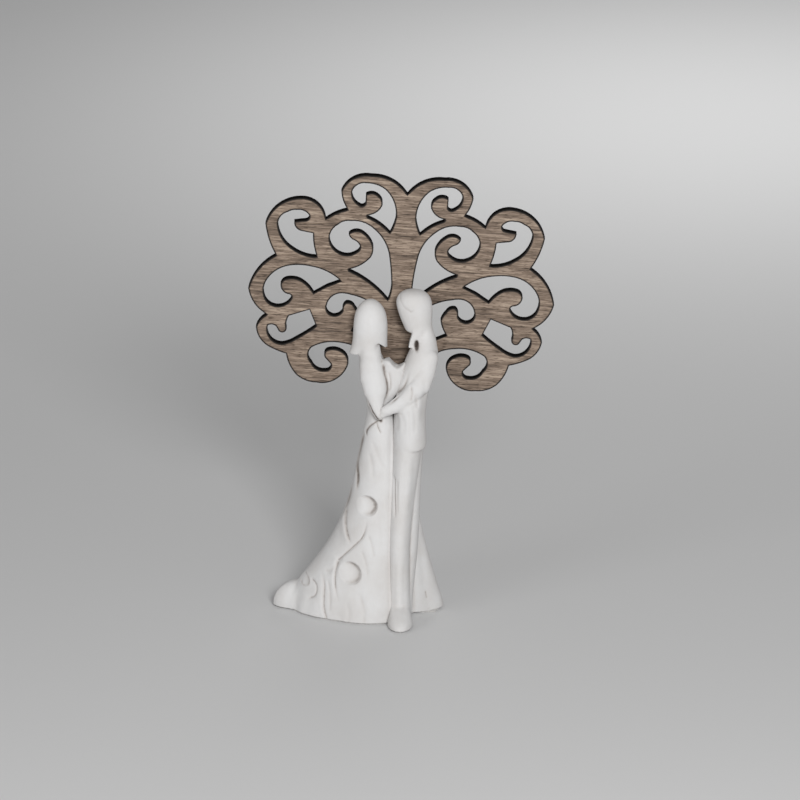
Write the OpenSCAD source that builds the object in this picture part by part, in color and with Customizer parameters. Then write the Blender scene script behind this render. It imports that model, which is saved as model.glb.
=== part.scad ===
// Tree of life wedding figure: a bride and a groom cast in white plaster,
// standing in front of a laser-cut wooden crown whose trunk is let into the
// back of the gown. +X is to the viewer's right, +Y away, +Z up.

/* [Crown] */
// Width across the two side branches
crown_w = 134; // [115:1:155]
// Height of the crown's middle above the ground
crown_mid_z = 145; // [140:1:152]
// How far the crown leans to the viewer's right, in degrees
crown_lean = 3.3; // [0:0.1:5]
// Thickness of the board under its two veneers
core_t = 3; // [2.4:0.1:4]
// Thickness of each veneer
veneer_t = 0.5; // [0.3:0.05:0.8]
// Where the crown's front face stands behind the object's middle
crown_face_y = 14; // [12:0.5:16]
// Width of the trunk where it leaves the crown
trunk_w = 19; // [15:0.5:24]

/* [Tongue and slot] */
// Width of the tongue at the foot of the trunk
tongue_w = 16; // [12:0.5:18]
// Depth of the tongue inside the gown
tongue_depth = 20; // [14:1:26]
// Height at which the trunk comes out of the gown
slot_mouth_z = 36; // [34:1:40]
// Clearance of the tongue in its slot, all round
slot_gap = 0.2; // [0.1:0.05:0.4]
// Plaster left behind the slot at its mouth
slot_wall = 2.4; // [1.6:0.2:4]

/* [Bride] */
// Height of the bride
bride_h = 143; // [125:1:150]
// Length of the gown's foot, from the train's tip to the right flare
gown_l = 77; // [68:1:90]
// Reach of the gown's foot in front of its middle
gown_front = 25; // [21:1:29]
// How much shallower the gown is in front towards its left end, as a share
gown_slant = 0.3; // [0:0.05:0.4]
// Reach of the gown's foot behind its middle
gown_back = 21; // [18:1:26]
// Where the gown's right flare stands in front of the object's middle, at its foot
flare_front = 3; // [0:0.5:6]
// Width of the bride's head, hair included
bride_head_w = 14; // [11:0.1:16]

/* [Groom] */
// Height of the groom
groom_h = 147.5; // [130:1:155]
// Width of the groom's head
groom_head_w = 15.4; // [12:0.1:17]
// Width of the jacket across the groom's body
jacket_w = 15; // [13:0.5:18]
// Length of the groom's shoe
shoe_l = 16; // [13:0.5:19]

/* [Felt] */
// Thickness of the felt sheet under the castings
felt_t = 1; // [0.6:0.1:2]
// How far the felt stays inside the castings' edge
felt_inset = 2.5; // [1.5:0.5:4]

/* [Hidden] */
$fn = 32;

board_t = core_t + 2 * veneer_t;
arc_edge = 1.6;      // longest straight edge along a bowed stretch of the crown
arc_turn = 11;       // widest turn between two such edges, in degrees
thin = 0.01;         // thickness of the slices that the figures are drawn over
drawn_w = 134;       // width that the crown's outline is drawn to
crown_k = crown_w / drawn_w;
tongue_foot_z = slot_mouth_z - tongue_depth;

foot_x = -19.3;      // middle of the gown's foot
foot_y = 7;
groom_x = 3.5;       // middle of the groom's jacket
shoe_x = -1;         // middle of the shoe
shoe_y = -28;        // tip of the shoe
toe_r = 5;           // radius of its toe
foot_in = 3.1;       // how far the foot's middle is to the right of the gown's, train included
train_half = 11.4;   // half width of the train's tip
train_x = foot_x - gown_l / 2 + train_half;
train_y = 9.5;
flare_x = 4.5;       // where the right flare starts, behind the leg
flare_lean = 4.4;    // lean of its front face, in degrees
bride_head = [-13.2, 6.5];
groom_head = [5.6, 6.5];

// ---- the crown's outline ----
// Each row is [x, y, bow]: a corner, and how far the stretch to the next corner
// bows out of the shape (in, if negative). Rows are for the left half.

crown_outline = [
    [0, 43.6, 2.4],        // notch over the trunk, then the top branch
    [-16, 51.3, 2.7],
    [-28.8, 43.5, 0.6],
    [-25.5, 35.3, 0.6],
    [-34.8, 30.5, 3],      // upper branch
    [-46.5, 39.4, 3.1],
    [-61, 27, 0.8],
    [-55.6, 12.8, 2.1],    // side branch
    [-67, -3, 1.7],
    [-58.2, -14.5, 0.8],   // lower branch
    [-62.8, -20.5, 1.5],
    [-56, -29.5, 0.2],
    [-49, -32, 0.8],       // curl under the crown
    [-44, -41.5, 0.9],
    [-35, -44.6, 1],
    [-26, -42.3, 0.8],
    [-21.4, -35, 0.9],
    [-24.5, -29.7, 0.8],
    [-31, -29.3, 1.1],
    [-31.3, -33.4, 0],
    [-29.2, -35.6, -1.1],
    [-31.5, -38.9, -1.2],
    [-37.5, -35.6, -1.5],
    [-37.9, -28.4, -1.2],
    [-25, -25.7, -0.4],
    [-17.5, -27.8, -1.2],
];

top_hole = [
    [-18, 47.8, 0.7],
    [-9.8, 45.5, 1.8],
    [-4.6, 32, 0.2],
    [-6.6, 25.8, -0.7],
    [-16.4, 32.2, 0.2],
    [-16.8, 33.3, -1.1],
    [-10.6, 38, -0.7],
    [-12.5, 42.3, -1],
    [-18, 42.5, 0],
    [-18, 38.5, 0.6],
    [-20.3, 37.6, 0.9],
    [-24, 42.8, 0.5],
    [-22.4, 46.4, 0.5],
];

trunk_hole = [
    [-23.8, 30.3, 1.2],
    [-13.5, 27.1, 1.4],
    [-6.2, 14.5, 0.2],
    [-4.7, 2, 0.3],
    [-5.8, -4.8, -1.3],
    [-23.3, 7.5, 0.1],
    [-23.6, 8.3, -0.9],
    [-14.5, 14, -0.6],
    [-13.6, 19.5, -0.6],
    [-18, 25, -1.3],
    [-24.5, 24.3, -0.5],
    [-22, 21.7, 0.4],
    [-19.3, 19, 0.5],
    [-20.7, 16.2, 1.1],
    [-28, 15.3, 1.1],
    [-32.7, 21.8, 1],
    [-29.5, 28.2, 0.7],
];

hook_hole = [
    [-47.3, 34, 0.7],
    [-42.4, 32.2, 0.8],
    [-43.5, 29.4, 0],
    [-48.5, 28.6, -0.9],
    [-45.5, 24.6, 0],
    [-40.1, 23.8, -0.5],
    [-37.8, 13.1, 0.9],
    [-48.5, 16.2, 1.5],
    [-55.5, 27, 1.2],
    [-51.6, 32.8, 0.4],
];

side_hole = [
    [-26.7, 2.6, 1.1],
    [-40, 8.6, 0.5],
    [-50, 8.4, 1.4],
    [-59.5, 0.6, 0.9],
    [-59.2, -7.4, 0.6],
    [-54.8, -10.4, 1.3],
    [-48, -6.5, 0.7],
    [-49.6, -4.6, -1],
    [-53, -0.3, -0.5],
    [-50.5, 2.4, -0.5],
    [-44.5, 2.1, -0.6],
    [-38.3, -3.6, 0],
    [-32.7, 0, 0],
];

shoulder_hole = [
    [-25, -2.9, 1.9],
    [-32.3, -8.7, 1.4],
    [-29, -13.4, 0.7],
    [-25.3, -10.8, -0.6],
    [-24, -7.1, -0.8],
    [-20, -9, -0.3],
    [-17.8, -13, -0.5],
    [-20.8, -19.7, 0],
    [-12, -24, 0.3],
    [-11, -12, 0.6],
    [-13.6, -6.3, 0.4],
    [-22, -3.4, 0.1],
];

low_hole = [
    [-39.8, -11.2, 0],
    [-48.6, -14.5, 0.6],
    [-49.3, -20.5, -1.2],
    [-52.7, -21.8, 0],
    [-54, -19.7, 0.6],
    [-57.6, -19.4, 0.7],
    [-56.2, -25.2, 0.7],
    [-51, -27.6, 0.4],
    [-45, -24.8, 0.2],
    [-36.5, -18.6, 0],
];

crown_holes = [top_hole, trunk_hole, hook_hole, side_hole, shoulder_hole, low_hole];

function xy(row) = [row.x, row.y];
function total(v, i = 0) = i < len(v) ? v[i] + total(v, i + 1) : 0;
function next(rows, i) = rows[(i + 1) % len(rows)];

// Twice the area inside the rows' corners: positive if they run anticlockwise
function turning(rows) =
    total([for (i = [0:len(rows) - 1]) rows[i].x * next(rows, i).y - next(rows, i).x * rows[i].y]);

// Points along the arc from a to b that bows out to the right, from a up to but not b
function arc(a, b, bow) =
    abs(bow) < thin ? [a] :
    let (
        chord = norm(b - a),
        along = (b - a) / chord,
        out = [along.y, -along.x] * sign(bow),
        radius = (chord * chord / 4 + bow * bow) / (2 * abs(bow)),
        half = asin(chord / 2 / radius),
        middle = (a + b) / 2 + out * (abs(bow) - radius),
        steps = ceil(max(chord / arc_edge, 2 * half / arc_turn))
    )
    [for (i = [0:steps - 1])
        let (t = half * (2 * i / steps - 1))
        middle + radius * (along * sin(t) + out * cos(t))];

// A closed loop of bowed stretches
function loop(rows) =
    let (way = sign(turning(rows)))
    [for (i = [0:len(rows) - 1]) each arc(xy(rows[i]), xy(next(rows, i)), rows[i].z * way)];

// The left half of the crown, from the notch over the trunk to the tongue's foot
function half_outline() =
    let (
        mouth = (crown_mid_z - slot_mouth_z) / crown_k,
        foot = (crown_mid_z - tongue_foot_z) / crown_k
    )
    concat(crown_outline, [
        [-trunk_w / 2 / crown_k, -42, -0.4],
        [-tongue_w / 2 / crown_k, -mouth, 0],
        [-tongue_w / 2 / crown_k, -foot, 0],
        [0, -foot, 0],
    ]);

// The same points in the right half, from the tongue's foot back up
function mirrored(points) = [for (i = [len(points) - 1:-1:0]) [-points[i].x, points[i].y]];

function whole_outline() =
    let (left = loop(half_outline()))
    concat(left, mirrored([for (p = left) if (p.x < 0) p]));

module crown_profile() {
    scale(crown_k) difference() {
        polygon(whole_outline());
        for (rows = crown_holes) {
            polygon(loop(rows));
            mirror([1, 0]) polygon(loop(rows));
        }
    }
}

// Turns a drawing on the XY plane into the crown's upright, leaning plane
module in_crown_plane(front) {
    translate([0, front, crown_mid_z])
        rotate([0, crown_lean, 0])
            rotate([90, 0, 0])
                children();
}

module board(front, depth) {
    in_crown_plane(front + depth) linear_extrude(depth) crown_profile();
}

module crown_core() {
    color("saddlebrown") board(crown_face_y + veneer_t, core_t);
}

module crown_front_veneer() {
    color("rosybrown") board(crown_face_y, veneer_t);
}

module crown_back_veneer() {
    color("rosybrown") board(crown_face_y + veneer_t + core_t, veneer_t);
}

// ---- the two figures ----
// Each slice is [x, y, half width, reach in front, reach behind, height, slant],
// where the slant, if given, draws the front in towards the slice's left end.

function slanted(s, t) = s[6] == undef ? 1 : 1 - s[6] * max(0, -cos(t));

function slice_points(s) =
    [for (i = [0:$fn - 1])
        let (t = 360 * i / $fn)
        [s[0] + s[2] * cos(t), s[1] + (sin(t) < 0 ? s[3] * slanted(s, t) : s[4]) * sin(t)]];

module slice(s) {
    translate([0, 0, s[5]]) linear_extrude(thin) polygon(slice_points(s));
}

module drawn_over(slices) {
    for (i = [0:len(slices) - 2]) hull() {
        slice(slices[i]);
        slice(slices[i + 1]);
    }
}

module ball(p, r) {
    translate(p) sphere(r, $fn = 20);
}

module limb(points) {
    for (i = [0:len(points) - 2]) hull() {
        ball(points[i][0], points[i][1]);
        ball(points[i + 1][0], points[i + 1][1]);
    }
}

// The gown's slice at a height: the foot's, drawn in by the given shares, but
// never so far that the slot loses the wall behind it
function gown_slice(shift, width, front, back, z) =
    let (
        behind = gown_back * back,
        walled = crown_face_y + board_t + slot_gap + slot_wall - foot_y
    )
    [foot_x + shift, foot_y, gown_l / 2 * width, gown_front * front,
        z < slot_mouth_z + slot_wall ? max(behind, walled) : behind, z, gown_slant];

module bride_form() {
    k = bride_h / 143;
    head_r = bride_head_w / 2;
    drawn_over([
        gown_slice(foot_in, 1 - 2 * foot_in / gown_l, 1, 1, felt_t),
        gown_slice(3.3, 0.88, 0.96, 0.97, 5),
        gown_slice(4.1, 0.79, 0.87, 0.9, 14),
        gown_slice(6.9, 0.64, 0.76, 0.82, 24),
        gown_slice(9, 0.51, 0.67, 0.8, 35),
        gown_slice(11.1, 0.41, 0.58, 0.56, 45),
        gown_slice(11.4, 0.34, 0.5, 0.33, 60),
        gown_slice(10.4, 0.25, 0.42, 0.31, 75 * k),
        [-9, 5, 6.6, 8.2, crown_face_y - 5, 87 * k],
        [-9.8, 4.5, 4.6, 6.4, crown_face_y - 5.5, 96 * k],
        [-9.8, 4.5, 7, 7.4, crown_face_y - 4.5, 106 * k],
        [-9, 4.5, 9, 8.6, crown_face_y - 4.5, 113.5 * k],
        [-13, 5, 4.8, 6.5, crown_face_y - 6.5, 118.5 * k],
        [-14, 5.5, 3, 3.4, 3.4, 122 * k],
        [-13.6, 6, 3.2, 3.4, 3.4, bride_h - 17],
    ]);
    drawn_over([
        [train_x, train_y, train_half, 8, 8, felt_t],
        [train_x, train_y, train_half, 7.6, 8, 4],
        [train_x, train_y, train_half * 0.8, 6, 7, 8],
        [train_x, train_y - 1, train_half * 0.3, 2.4, 3, 11.5],
    ]);
    hull() {
        translate([bride_head.x, bride_head.y, bride_h - 9.5])
            scale([head_r / 7, 0.93, 1.36]) sphere(7);
        translate([bride_head.x + 1.5, bride_head.y, bride_h - 15.5])
            scale([0.85, 0.8, 1]) sphere(5.5);
    }
    limb([
        [[-13.2, 0, 115.5 * k], 5],
        [[-12.2, -1.4, 109 * k], 5.4],
        [[-11.1, -4, 99.5 * k], 3.6],
        [[-9.6, -5.6, 93.4 * k], 2],
    ]);
}

module groom_form() {
    k = groom_h / 147.5;
    head_r = groom_head_w / 2;
    half = jacket_w / 2;
    drawn_over([
        [-0.8, shoe_y + shoe_l + 1, 5.2, 6, 6, felt_t],
        [-0.8, shoe_y + shoe_l + 1, 4.9, 5.8, 6, 8],
        [-1, -8, 4.7, 6, 6.4, 28],
        [-0.4, -5, 5.2, 6.6, 7.4, 40 * k],
        [1.6, -2.4, 6.4, 7.4, 8.8, 54 * k],
        [3, -0.8, 6.9, 8, 9.6, 76.5 * k],
        [groom_x, -0.4, half, 9, 10, 78 * k],
        [groom_x, 0, half - 0.2, 8.8, 10, 86 * k],
        [groom_x + 0.4, 1.2, half - 0.4, 8.8, 9, 97 * k],
        [groom_x + 2.8, 2.4, half - 0.1, 9, crown_face_y - 2.4, 110 * k],
        [groom_x + 4.4, 3, half + 0.2, 10.6, crown_face_y - 3, 119 * k],
        [groom_x + 6.6, 4.6, 4.4, 6.6, crown_face_y - 5, 124 * k],
        [groom_x + 6.6, 5.5, 3.1, 3.4, 3.4, 127.5 * k],
        [groom_x + 5, 6, 3.6, 3.6, 3.6, groom_h - 15],
    ]);
    hull() {
        translate([groom_head.x, groom_head.y, groom_h - 8.6])
            scale([head_r / 7, 0.93, 1.22]) sphere(7);
        translate([groom_head.x - 0.6, groom_head.y, groom_h - 13.8])
            scale([0.88, 0.8, 0.9]) sphere(5.5);
    }
    limb([
        [[11.2, -1.5, 118.4 * k], 4.7],
        [[7.8, -5.2, 107 * k], 4.3],
        [[2.2, -6.6, 101.6 * k], 3.6],
        [[-6.6, -6.8, 96.4 * k], 2.3],
    ]);
    hull() {
        translate([shoe_x, shoe_y + toe_r, felt_t]) cylinder(3.4, toe_r, toe_r - 1.8);
        translate([shoe_x, shoe_y + shoe_l, felt_t]) cylinder(5, toe_r + 0.6, toe_r - 0.4);
    }
}

// What is left open in front of the gown's right flare
module flare_space() {
    translate([flare_x, -flare_front, felt_t])
        rotate([-flare_lean, 0, 0])
            translate([0, -60, -10])
                cube([60, 60, 70]);
}

// Trims a figure flat at the foot
module trimmed() {
    intersection() {
        children();
        translate([-200, -200, felt_t]) cube([400, 400, 400]);
    }
}

// The space that the crown needs: a slot for the tongue, clear of it all round, and
// above the slot's mouth a groove, open at the back, that the trunk is glued into
module crown_space() {
    slot_half = tongue_w / 2 + slot_gap;
    groove_half = trunk_w / 2 + slot_gap;
    slot_h = tongue_depth + slot_gap;
    slot_t = board_t + 2 * slot_gap;
    mouth = slot_mouth_z - crown_mid_z;
    in_crown_plane(crown_face_y + board_t + slot_gap)
        translate([-slot_half, mouth - slot_h])
            cube([2 * slot_half, slot_h + thin, slot_t]);
    in_crown_plane(crown_face_y + gown_back)
        linear_extrude(gown_back)
            polygon([[-slot_half - slot_gap, mouth], [slot_half + slot_gap, mouth],
                [groove_half, -42 * crown_k], [groove_half, 0],
                [-groove_half, 0], [-groove_half, -42 * crown_k]]);
}

module bride() {
    color("whitesmoke") trimmed() difference() {
        bride_form();
        groom_form();
        flare_space();
        crown_space();
    }
}

module groom() {
    color("white") trimmed() difference() {
        groom_form();
        crown_space();
    }
}

module felt_base() {
    color("gainsboro") linear_extrude(felt_t) {
        difference() {
            polygon(slice_points([foot_x + foot_in, foot_y, gown_l / 2 - foot_in - felt_inset,
                gown_front - felt_inset, gown_back - felt_inset, 0, gown_slant], $fn = 96));
            translate([flare_x - felt_inset, felt_inset - flare_front - 60]) square(60);
        }
        polygon(slice_points([train_x, train_y, train_half - felt_inset,
            8 - felt_inset, 8 - felt_inset]));
        translate([shoe_x, shoe_y + toe_r]) circle(toe_r - felt_inset);
        translate([shoe_x - toe_r + felt_inset, shoe_y + toe_r])
            square([2 * (toe_r - felt_inset), shoe_l]);
    }
}

bride();
groom();
crown_core();
crown_front_veneer();
crown_back_veneer();
felt_base();
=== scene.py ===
import math

import bpy
import numpy as np
from mathutils import Matrix, Vector
from mathutils.bvhtree import BVHTree


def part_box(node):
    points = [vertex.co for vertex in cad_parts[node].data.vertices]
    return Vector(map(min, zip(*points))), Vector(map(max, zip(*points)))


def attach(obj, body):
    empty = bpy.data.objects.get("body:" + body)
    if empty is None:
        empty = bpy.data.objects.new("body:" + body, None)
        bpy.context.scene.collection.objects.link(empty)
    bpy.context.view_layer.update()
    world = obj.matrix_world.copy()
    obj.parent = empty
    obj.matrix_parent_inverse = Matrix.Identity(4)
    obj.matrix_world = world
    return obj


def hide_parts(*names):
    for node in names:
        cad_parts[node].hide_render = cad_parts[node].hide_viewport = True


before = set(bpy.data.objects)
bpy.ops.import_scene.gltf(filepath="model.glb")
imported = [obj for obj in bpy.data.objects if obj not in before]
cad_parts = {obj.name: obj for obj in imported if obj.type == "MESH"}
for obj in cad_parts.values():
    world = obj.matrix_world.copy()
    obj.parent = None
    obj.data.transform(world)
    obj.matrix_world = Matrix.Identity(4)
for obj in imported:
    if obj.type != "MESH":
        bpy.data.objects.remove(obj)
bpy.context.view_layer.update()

# Lengths in this script are in millimetres, and turned to metres as they are written
mm = 0.001
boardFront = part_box("crown_front_veneer")[0].y / mm
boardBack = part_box("crown_back_veneer")[1].y / mm
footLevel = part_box("bride")[0].z / mm
crownLean = math.radians(3.3)
# the castings stop this far in front of the board's face
glueGap = 0.05
print("frame loaded: board face at", round(boardFront, 2), "foot at", round(footLevel, 2))


def clearSelection():
    if bpy.context.object and bpy.context.object.mode != "OBJECT":
        bpy.ops.object.mode_set(mode="OBJECT")
    bpy.ops.object.select_all(action="DESELECT")


def pick(piece):
    clearSelection()
    piece.select_set(True)
    bpy.context.view_layer.objects.active = piece


def applyModifiers(piece):
    pick(piece)
    for modifier in list(piece.modifiers):
        bpy.ops.object.modifier_apply(modifier=modifier.name)


def joinPieces(name, pieces):
    pick(pieces[0])
    for piece in pieces[1:]:
        piece.select_set(True)
    bpy.ops.object.join()
    pieces[0].name = pieces[0].data.name = name
    return pieces[0]


def readPoints(piece):
    points = np.empty(len(piece.data.vertices) * 3)
    piece.data.vertices.foreach_get("co", points)
    return points.reshape(-1, 3) / mm


def writePoints(piece, points):
    piece.data.vertices.foreach_set("co", (points * mm).ravel())
    piece.data.update()


def readNormals(piece):
    normals = np.empty(len(piece.data.vertices) * 3)
    piece.data.vertex_normals.foreach_get("vector", normals)
    return normals.reshape(-1, 3)


def rise(value, low, high):
    # smooth step from 0 at low to 1 at high
    share = np.clip((value - low) / (high - low), 0, 1)
    return share * share * (3 - 2 * share)


def loft(name, rows, sides=24, levels=2):
    # each row: height, middle x, middle y, half width, reach in front, reach behind
    clearSelection()
    bpy.ops.mesh.primitive_circle_add(vertices=sides, radius=1, fill_type="NGON")
    piece = bpy.context.object
    piece.name = name
    bpy.ops.object.mode_set(mode="EDIT")
    bpy.ops.mesh.select_all(action="SELECT")
    for _ in rows[1:]:
        bpy.ops.mesh.extrude_region_move(TRANSFORM_OT_translate={"value": (0, 0, 1)})
    bpy.ops.mesh.select_all(action="SELECT")
    bpy.ops.mesh.normals_make_consistent(inside=False)
    bpy.ops.object.mode_set(mode="OBJECT")
    for vertex in piece.data.vertices:
        height, middleX, middleY, half, front, behind = rows[round(vertex.co.z)]
        reach = front if vertex.co.y < 0 else behind
        vertex.co = Vector((middleX + half * vertex.co.x, middleY + reach * vertex.co.y, height)) * mm
    smooth = piece.modifiers.new("rounding", "SUBSURF")
    smooth.levels = smooth.render_levels = levels
    applyModifiers(piece)
    return piece


def limb(name, stations, flat=1, sides=20):
    # a round limb through stations of (x, y, z, radius), thinner front to back by flat
    pieces = []
    for (x, y, z, r), (x2, y2, z2, r2) in zip(stations, stations[1:]):
        start, end = Vector((x, y, z)) * mm, Vector((x2, y2, z2)) * mm
        clearSelection()
        bpy.ops.mesh.primitive_uv_sphere_add(segments=sides, ring_count=sides, radius=1)
        ball = bpy.context.object
        turn = (end - start).to_track_quat("Z", "Y").to_matrix()
        for vertex in ball.data.vertices:
            upper = vertex.co.z > -1e-6
            reach = turn @ (vertex.co * (r2 if upper else r) * mm)
            reach.y *= flat
            vertex.co = reach + (end if upper else start)
        pieces.append(ball)
    return joinPieces(name, pieces)


def soften(piece, rounds, group=""):
    smooth = piece.modifiers.new("soften", "SMOOTH")
    smooth.factor = 0.5
    smooth.iterations = rounds
    smooth.vertex_group = group
    applyModifiers(piece)


def remesh(piece, voxel, smoothing):
    skin = piece.modifiers.new("skin", "REMESH")
    skin.mode = "VOXEL"
    skin.voxel_size = voxel * mm
    skin.use_smooth_shade = True
    soften(piece, smoothing)


def within(points, low, high, fade):
    # 1 inside the box from low to high, down to 0 at fade outside it
    share = np.ones(len(points))
    for axis in range(3):
        value = points[:, axis]
        share *= rise(value, low[axis] - fade, low[axis]) * (1 - rise(value, high[axis], high[axis] + fade))
    return share


def softenWithin(piece, low, high, rounds, fade=2, least=0.02):
    group = piece.vertex_groups.new(name="soften")
    shares = within(readPoints(piece), low, high, fade)
    for i in np.flatnonzero(shares > least):
        group.add([int(i)], float(shares[i]), "REPLACE")
    soften(piece, rounds, group.name)
    piece.vertex_groups.clear()


def cornerKey(vertex):
    return round(vertex.co.x, 4), round(vertex.co.y, 4)


def prism(name, outline, front, back):
    # a closed outline of (x, z) drawn through from front to back
    clearSelection()
    bpy.ops.mesh.primitive_circle_add(vertices=len(outline), radius=1, fill_type="NGON")
    piece = bpy.context.object
    piece.name = name
    corner = {cornerKey(vertex): place for vertex, place in zip(piece.data.vertices, outline)}
    bpy.ops.object.mode_set(mode="EDIT")
    bpy.ops.mesh.select_all(action="SELECT")
    bpy.ops.mesh.extrude_region_move(TRANSFORM_OT_translate={"value": (0, 0, 1)})
    bpy.ops.object.mode_set(mode="OBJECT")
    for vertex in piece.data.vertices:
        x, z = corner[cornerKey(vertex)]
        vertex.co = Vector((x, back if vertex.co.z > 0.5 else front, z)) * mm
    bpy.ops.object.mode_set(mode="EDIT")
    bpy.ops.mesh.select_all(action="SELECT")
    bpy.ops.mesh.normals_make_consistent(inside=False)
    bpy.ops.object.mode_set(mode="OBJECT")
    return piece


def cutBy(piece, cutter):
    cut = piece.modifiers.new("cut", "BOOLEAN")
    cut.operation = "DIFFERENCE"
    cut.solver = "EXACT"
    cut.object = cutter
    applyModifiers(piece)
    bpy.data.objects.remove(cutter)


def flatFoot(piece):
    pick(piece)
    bpy.ops.object.mode_set(mode="EDIT")
    bpy.ops.mesh.select_all(action="SELECT")
    bpy.ops.mesh.bisect(plane_co=(0, 0, footLevel * mm), plane_no=(0, 0, 1), use_fill=True, clear_inner=True)
    bpy.ops.object.mode_set(mode="OBJECT")


def drawnThrough(marks, steps=6):
    # a smooth path through a few (x, z) marks
    marks = [np.array(mark, dtype=float) for mark in marks]
    marks = [2 * marks[0] - marks[1]] + marks + [2 * marks[-1] - marks[-2]]
    path = []
    for before, start, end, after in zip(marks, marks[1:], marks[2:], marks[3:]):
        slope = end - before
        curve = 2 * before - 5 * start + 4 * end - after
        twist = 3 * start - before - 3 * end + after
        for i in range(steps):
            t = i / steps
            path.append(0.5 * (2 * start + slope * t + curve * t ** 2 + twist * t ** 3))
    return path + [marks[-2]]


def besidePath(points, path):
    # how far each point is from the path in front view (positive on the path's right),
    # and how far along the path its nearest place is, from 0 to 1
    flat = points[:, [0, 2]]
    nearest = np.full(len(points), 1e9)
    side = np.ones(len(points))
    along = np.zeros(len(points))
    for i, (start, end) in enumerate(zip(path, path[1:])):
        run = end - start
        share = np.clip(((flat - start) @ run) / (run @ run), 0, 1)
        off = flat - start - share[:, None] * run
        distance = np.hypot(off[:, 0], off[:, 1])
        closer = distance < nearest
        nearest[closer] = distance[closer]
        side[closer] = np.where(run[0] * off[:, 1] - run[1] * off[:, 0] > 0, -1, 1)[closer]
        along[closer] = (i + share[closer]) / (len(path) - 1)
    return nearest * side, along


# A mark is a line in front view: width and depth of its groove, lift and spread of the
# raised strip on its right, darkness of the shade painted along it, and face -1 for the back.
# The fades are the shares of its length over which it starts and ends.
plainMark = {"lift": 0, "spread": 1, "shade": 0, "face": 1, "fadeIn": 0.15, "fadeOut": 0.2}
# the painted shade is narrower than the groove, and a mark fades out as the surface turns away
carving = {"stripEdge": (-0.35, 0.25), "shadeWidth": 0.7, "turnedAway": 0.35, "before": -0.001}


def carve(piece, marks):
    points, normals = readPoints(piece), readNormals(piece)
    paintedShade = np.zeros(len(points))
    push = np.zeros(len(points))
    for mark in marks:
        mark = {**plainMark, **mark}
        offset, along = besidePath(points, drawnThrough(mark["path"]))
        shown = rise(along, carving["before"], mark["fadeIn"])
        shown *= rise(1 - along, carving["before"], mark["fadeOut"])
        shown *= rise(-normals[:, 1] * mark["face"], 0, carving["turnedAway"])
        groove = np.exp(-(offset / mark["width"]) ** 2)
        strip = rise(offset, *carving["stripEdge"]) * (1 - rise(offset, 0, mark["spread"]))
        push += (mark["lift"] * strip - mark["depth"] * groove) * shown
        # painted shade along the groove, narrower than the groove itself
        creaseShade = np.exp(-(offset / (carving["shadeWidth"] * mark["width"])) ** 2)
        paintedShade = np.maximum(paintedShade, mark["shade"] * creaseShade * shown)
    writePoints(piece, points + normals * push[:, None])
    return paintedShade


# shares of a hollow's radius: rim is place, width and height, crescent is place, width and darkness of the shadow
# painted on the right wall
scoopLook = {
    "roundness": 0.4, "sinks": (-1.1, 0.7), "rim": (1.08, 0.08, 0.12),
    "crescent": (0.88, 0.17, 0.3), "crescentStart": (0.1, 0.75),
}


def scoop(piece, hollows):
    # round hollows, (x, z, radius, depth), steeper on their right, with a painted shadow crescent on their right
    # wall
    points, normals = readPoints(piece), readNormals(piece)
    front = normals[:, 1] < 0
    paintedShade = np.zeros(len(points))
    for x, z, radius, depth in hollows:
        across, up = (points[:, 0] - x) / radius, (points[:, 2] - z) / radius
        inside = np.clip(1 - across ** 2 - up ** 2, 0, 1)
        reach = np.hypot(across, up)
        sunk = depth * inside ** scoopLook["roundness"] * rise(across, *scoopLook["sinks"])
        place, width, height = scoopLook["rim"]
        rim = height * np.exp(-((reach - place) / width) ** 2)
        points[:, 1] += (sunk - rim) * front
        # a crescent of painted shadow on the right wall, which faces away from the key lamp
        place, width, shade = scoopLook["crescent"]
        crescent = rise(across, *scoopLook["crescentStart"]) * np.exp(-((reach - place) / width) ** 2)
        paintedShade = np.maximum(paintedShade, shade * crescent * front)
    writePoints(piece, points)
    return paintedShade


def hollowness(piece, rounds, depth):
    # 0 on flat and rounded-out places, 1 where the surface is sunk by depth below its surroundings
    mesh = piece.data
    count = len(mesh.vertices)
    ends = np.empty(len(mesh.edges) * 2, dtype=np.int64)
    mesh.edges.foreach_get("vertices", ends)
    first, second = ends.reshape(-1, 2).T
    neighbours = np.maximum(np.bincount(ends, minlength=count), 1)
    points = readPoints(piece)
    even = points.copy()
    for _ in range(rounds):
        sums = [np.bincount(first, even[second, axis], count) + np.bincount(second, even[first, axis], count)
                for axis in range(3)]
        even = np.stack(sums, axis=1) / neighbours[:, None]
    sunk = ((even - points) * readNormals(piece)).sum(axis=1)
    return np.clip(sunk / depth, 0, 1)


def nearTo(piece, other, reach):
    # 1 where the piece touches the other, 0 from reach away
    tree = BVHTree.FromObject(other, bpy.context.evaluated_depsgraph_get())
    close = np.zeros(len(piece.data.vertices))
    for i, vertex in enumerate(piece.data.vertices):
        found = tree.find_nearest(vertex.co, reach * mm)
        if found[3] is not None:
            close[i] = 1 - found[3] / (reach * mm)
    return close


def keepShade(piece, name, values):
    layer = piece.data.attributes.new(name, "FLOAT", "POINT")
    layer.data.foreach_set("value", values.astype(np.float32))


def newMaterial(name, constants):
    material = bpy.data.materials.new(name)
    material.use_nodes = True
    tree = material.node_tree
    shader = tree.nodes["Principled BSDF"]
    for socket, value in constants.items():
        shader.inputs[socket].default_value = value
    return material, tree, shader


def ramp(tree, value, stops):
    node = tree.nodes.new("ShaderNodeValToRGB")
    while len(node.color_ramp.elements) < len(stops):
        node.color_ramp.elements.new(0.5)
    for element, (place, colour) in zip(node.color_ramp.elements, stops):
        element.position = place
        element.color = (*colour, 1)
    tree.links.new(value, node.inputs["Fac"])
    return node.outputs["Color"]


def mask(tree, value, start, full):
    return ramp(tree, value, [(start, (0, 0, 0)), (full, (1, 1, 1))])


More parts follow.
